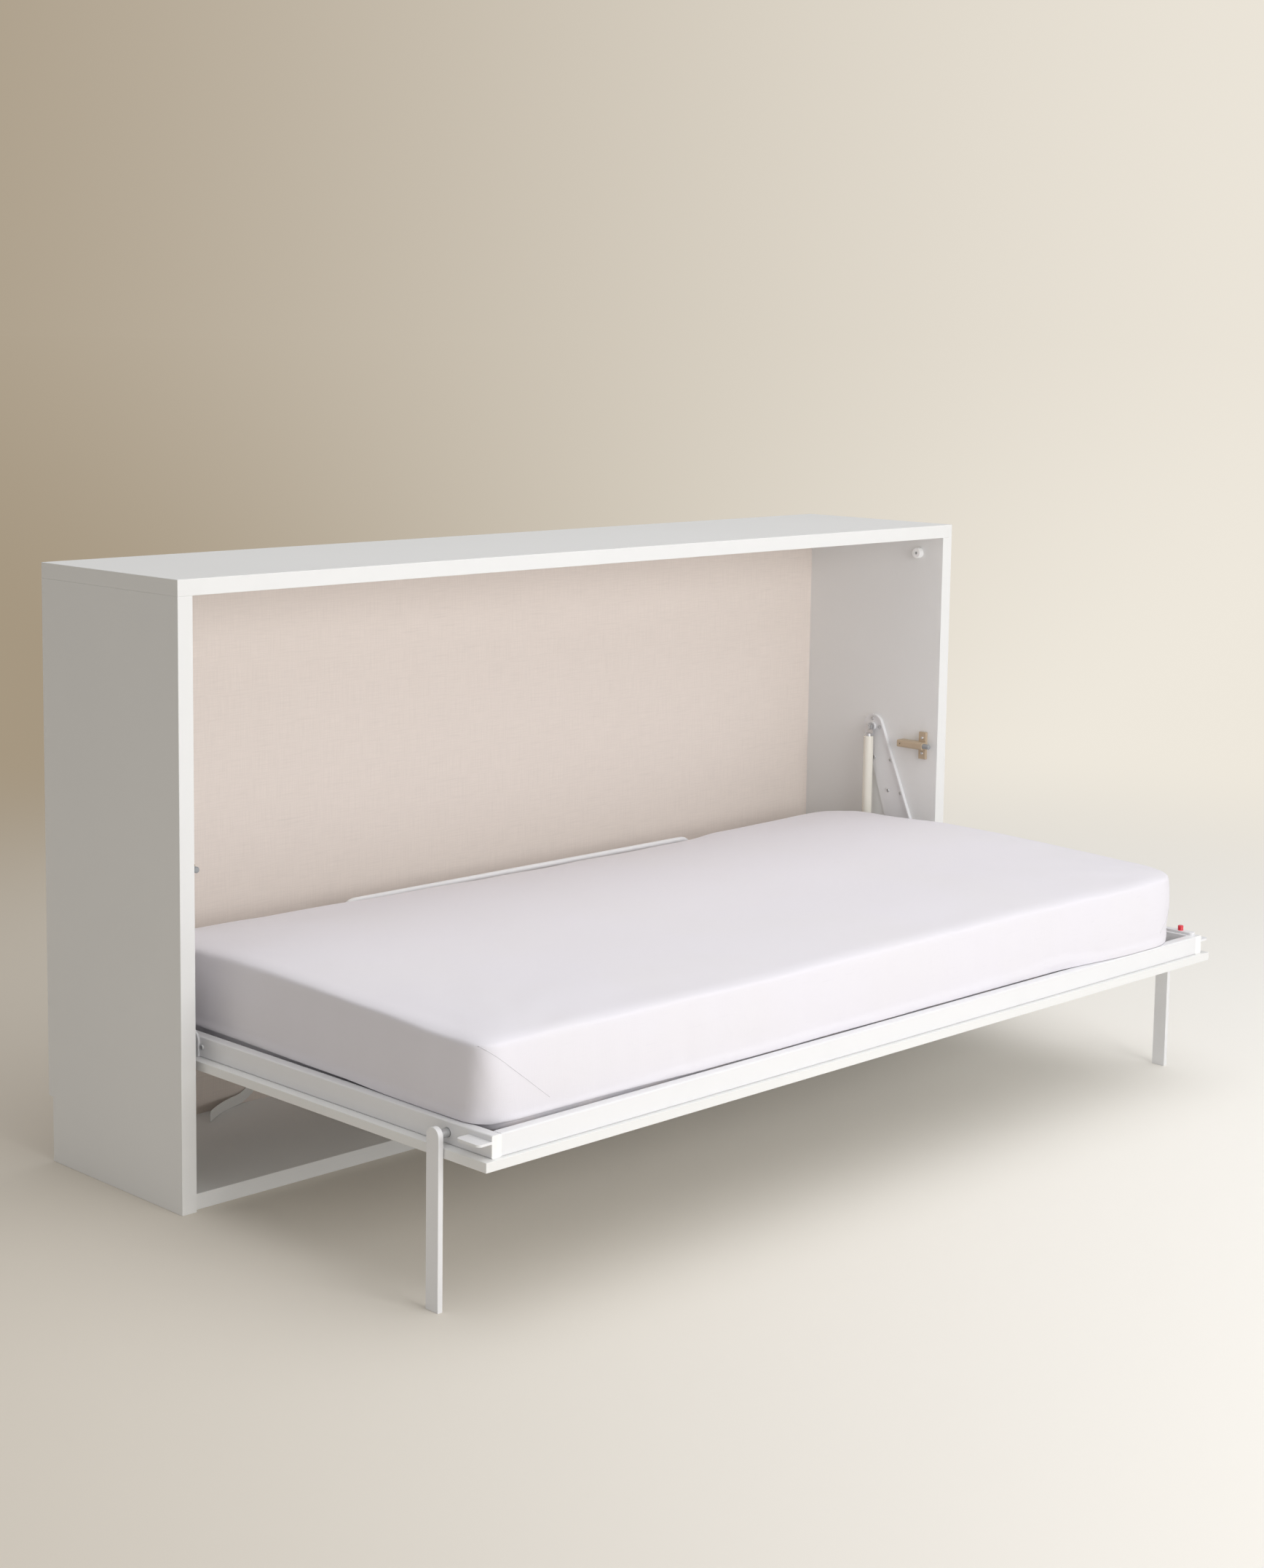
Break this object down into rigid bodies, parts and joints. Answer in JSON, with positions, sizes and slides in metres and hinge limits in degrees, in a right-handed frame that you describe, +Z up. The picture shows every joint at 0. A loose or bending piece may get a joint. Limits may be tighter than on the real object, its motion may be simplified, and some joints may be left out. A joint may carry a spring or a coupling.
{
  "type": "horizontal wall bed",
  "caption": "Low cabinet with a bed that folds out sideways: front board on a steel frame with mattress, folding legs, gas springs and closing dampers.",
  "frame": {"origin": "middle of the whole object with the bed open, on the floor", "axes": "+X along the length of the bed, +Y from the room to the wall, +Z up; the bed is open at rest"},
  "size_m": [2.06, 1.115, 1.078],
  "materials": {
    "white_board": "satin white melamine on chipboard",
    "back_laminate": "beige linen-look laminate, matt",
    "dowel_wood": "raw beech",
    "beech_slat": "lacquered beech",
    "white_steel": "white powder coat, satin",
    "zinc_steel": "bright zinc plate",
    "cream_steel": "cream enamel, glossy",
    "polished_rod": "polished",
    "white_nylon": "moulded, satin",
    "black_plastic": "moulded, matt",
    "tan_plastic": "moulded, satin",
    "grey_plastic": "moulded, satin",
    "red_plastic": "moulded, glossy",
    "cotton_sheet": "plain-woven cotton jersey fitted sheet over foam",
    "webbing": "woven polyester webbing"
  },
  "bodies": {
    "cabinet": {"top_panel": "white_board", "bottom_panel": "white_board", "back_panel": "back_laminate", "left_side_panel": "white_board", "right_side_panel": "white_board", "carcass_dowels": "dowel_wood", "wall_brackets": "zinc_steel", "wall_bracket_screws": "zinc_steel", "left_mechanism_plate": "white_steel", "right_mechanism_plate": "white_steel", "mechanism_screws": "zinc_steel", "left_hinge_bush": "white_nylon", "right_hinge_bush": "white_nylon", "spring_studs": "zinc_steel", "spring_nuts": "zinc_steel", "stop_pegs": "white_nylon", "peg_screws": "zinc_steel", "left_damper_housing": "tan_plastic", "right_damper_housing": "tan_plastic", "damper_screws": "zinc_steel", "strap": "webbing", "strap_screw": "zinc_steel"},
    "bed": {"front_board": "white_board", "left_side_rail": "white_steel", "right_side_rail": "white_steel", "rail_end_caps": "white_nylon", "front_rail": "white_steel", "rear_rail": "white_steel", "cross_bars": "white_steel", "board_screws": "zinc_steel", "slats": "beech_slat", "slat_saddles": "black_plastic", "mattress": "cotton_sheet", "mattress_hoop": "white_steel", "left_hinge_bracket": "white_steel", "right_hinge_bracket": "white_steel", "hinge_pins": "zinc_steel", "bracket_bolts": "zinc_steel", "stop_tabs": "white_steel", "spring_lugs": "white_steel", "leg_blocks": "white_nylon", "latch_housing": "white_steel"},
    "button": {"latch_button": "red_plastic"},
    "left_leg_arm": {"left_leg": "white_steel", "left_leg_shaft": "zinc_steel"},
    "left_cylinder": {"left_gas_cylinder": "cream_steel", "left_spring_fork": "zinc_steel"},
    "left_rod": {"left_gas_rod": "polished_rod", "left_rod_eye": "zinc_steel", "left_rod_pin": "zinc_steel"},
    "left_plunger": {"left_damper_plunger": "grey_plastic"},
    "right_leg_arm": {"right_leg": "white_steel", "right_leg_shaft": "zinc_steel"},
    "right_cylinder": {"right_gas_cylinder": "cream_steel", "right_spring_fork": "zinc_steel"},
    "right_rod": {"right_gas_rod": "polished_rod", "right_rod_eye": "zinc_steel", "right_rod_pin": "zinc_steel"},
    "right_plunger": {"right_damper_plunger": "grey_plastic"}
  },
  "joints": [
    {"name": "bed_hinge", "type": "hinge", "parent": "cabinet", "child": "bed", "pos_m": [0, 0.205, 0.2845], "axis": [-1, 0, 0], "range_deg": [0, 90]},
    {"name": "latch_button_press", "type": "slide", "parent": "bed", "child": "button", "axis": [0, 0, -1], "range_m": [0, 0.004], "stiffness_N_per_m": 300, "springref_m": -0.002},
    {"name": "left_leg_hinge", "type": "hinge", "parent": "bed", "child": "left_leg_arm", "pos_m": [-0.993, -0.4485, 0.276], "axis": [-1, 0, 0], "range_deg": [-90, 0]},
    {"name": "left_spring_pivot", "type": "hinge", "parent": "cabinet", "child": "left_cylinder", "pos_m": [-0.98, 0.3305, 0.6145], "axis": [-1, 0, 0], "range_deg": [0, 16.39]},
    {"name": "left_spring_slide", "type": "slide", "parent": "left_cylinder", "child": "left_rod", "axis": [0, 0, -1], "range_m": [0, 0.1363]},
    {"name": "left_damper_slide", "type": "slide", "parent": "cabinet", "child": "left_plunger", "axis": [0, 1, 0], "range_m": [0, 0.0155]},
    {"name": "right_leg_hinge", "type": "hinge", "parent": "bed", "child": "right_leg_arm", "pos_m": [0.993, -0.4485, 0.276], "axis": [-1, 0, 0], "range_deg": [-90, 0]},
    {"name": "right_spring_pivot", "type": "hinge", "parent": "cabinet", "child": "right_cylinder", "pos_m": [0.98, 0.3305, 0.6145], "axis": [-1, 0, 0], "range_deg": [0, 16.39]},
    {"name": "right_spring_slide", "type": "slide", "parent": "right_cylinder", "child": "right_rod", "axis": [0, 0, -1], "range_m": [0, 0.1363]},
    {"name": "right_damper_slide", "type": "slide", "parent": "cabinet", "child": "right_plunger", "axis": [0, 1, 0], "range_m": [0, 0.0155]}
  ],
  "couplings": [
    {"joint": "left_leg_hinge", "follows": "bed_hinge", "ratio": -1},
    {"joint": "left_spring_pivot", "follows": "bed_hinge", "ratio": 0.18214},
    {"joint": "left_spring_slide", "follows": "bed_hinge", "m_per_rad": 0.086772},
    {"joint": "left_damper_slide", "follows": "bed_hinge", "m_per_rad": 0.0098676},
    {"joint": "right_leg_hinge", "follows": "bed_hinge", "ratio": -1},
    {"joint": "right_spring_pivot", "follows": "bed_hinge", "ratio": 0.18214},
    {"joint": "right_spring_slide", "follows": "bed_hinge", "m_per_rad": 0.086772},
    {"joint": "right_damper_slide", "follows": "bed_hinge", "m_per_rad": 0.0098676}
  ]
}
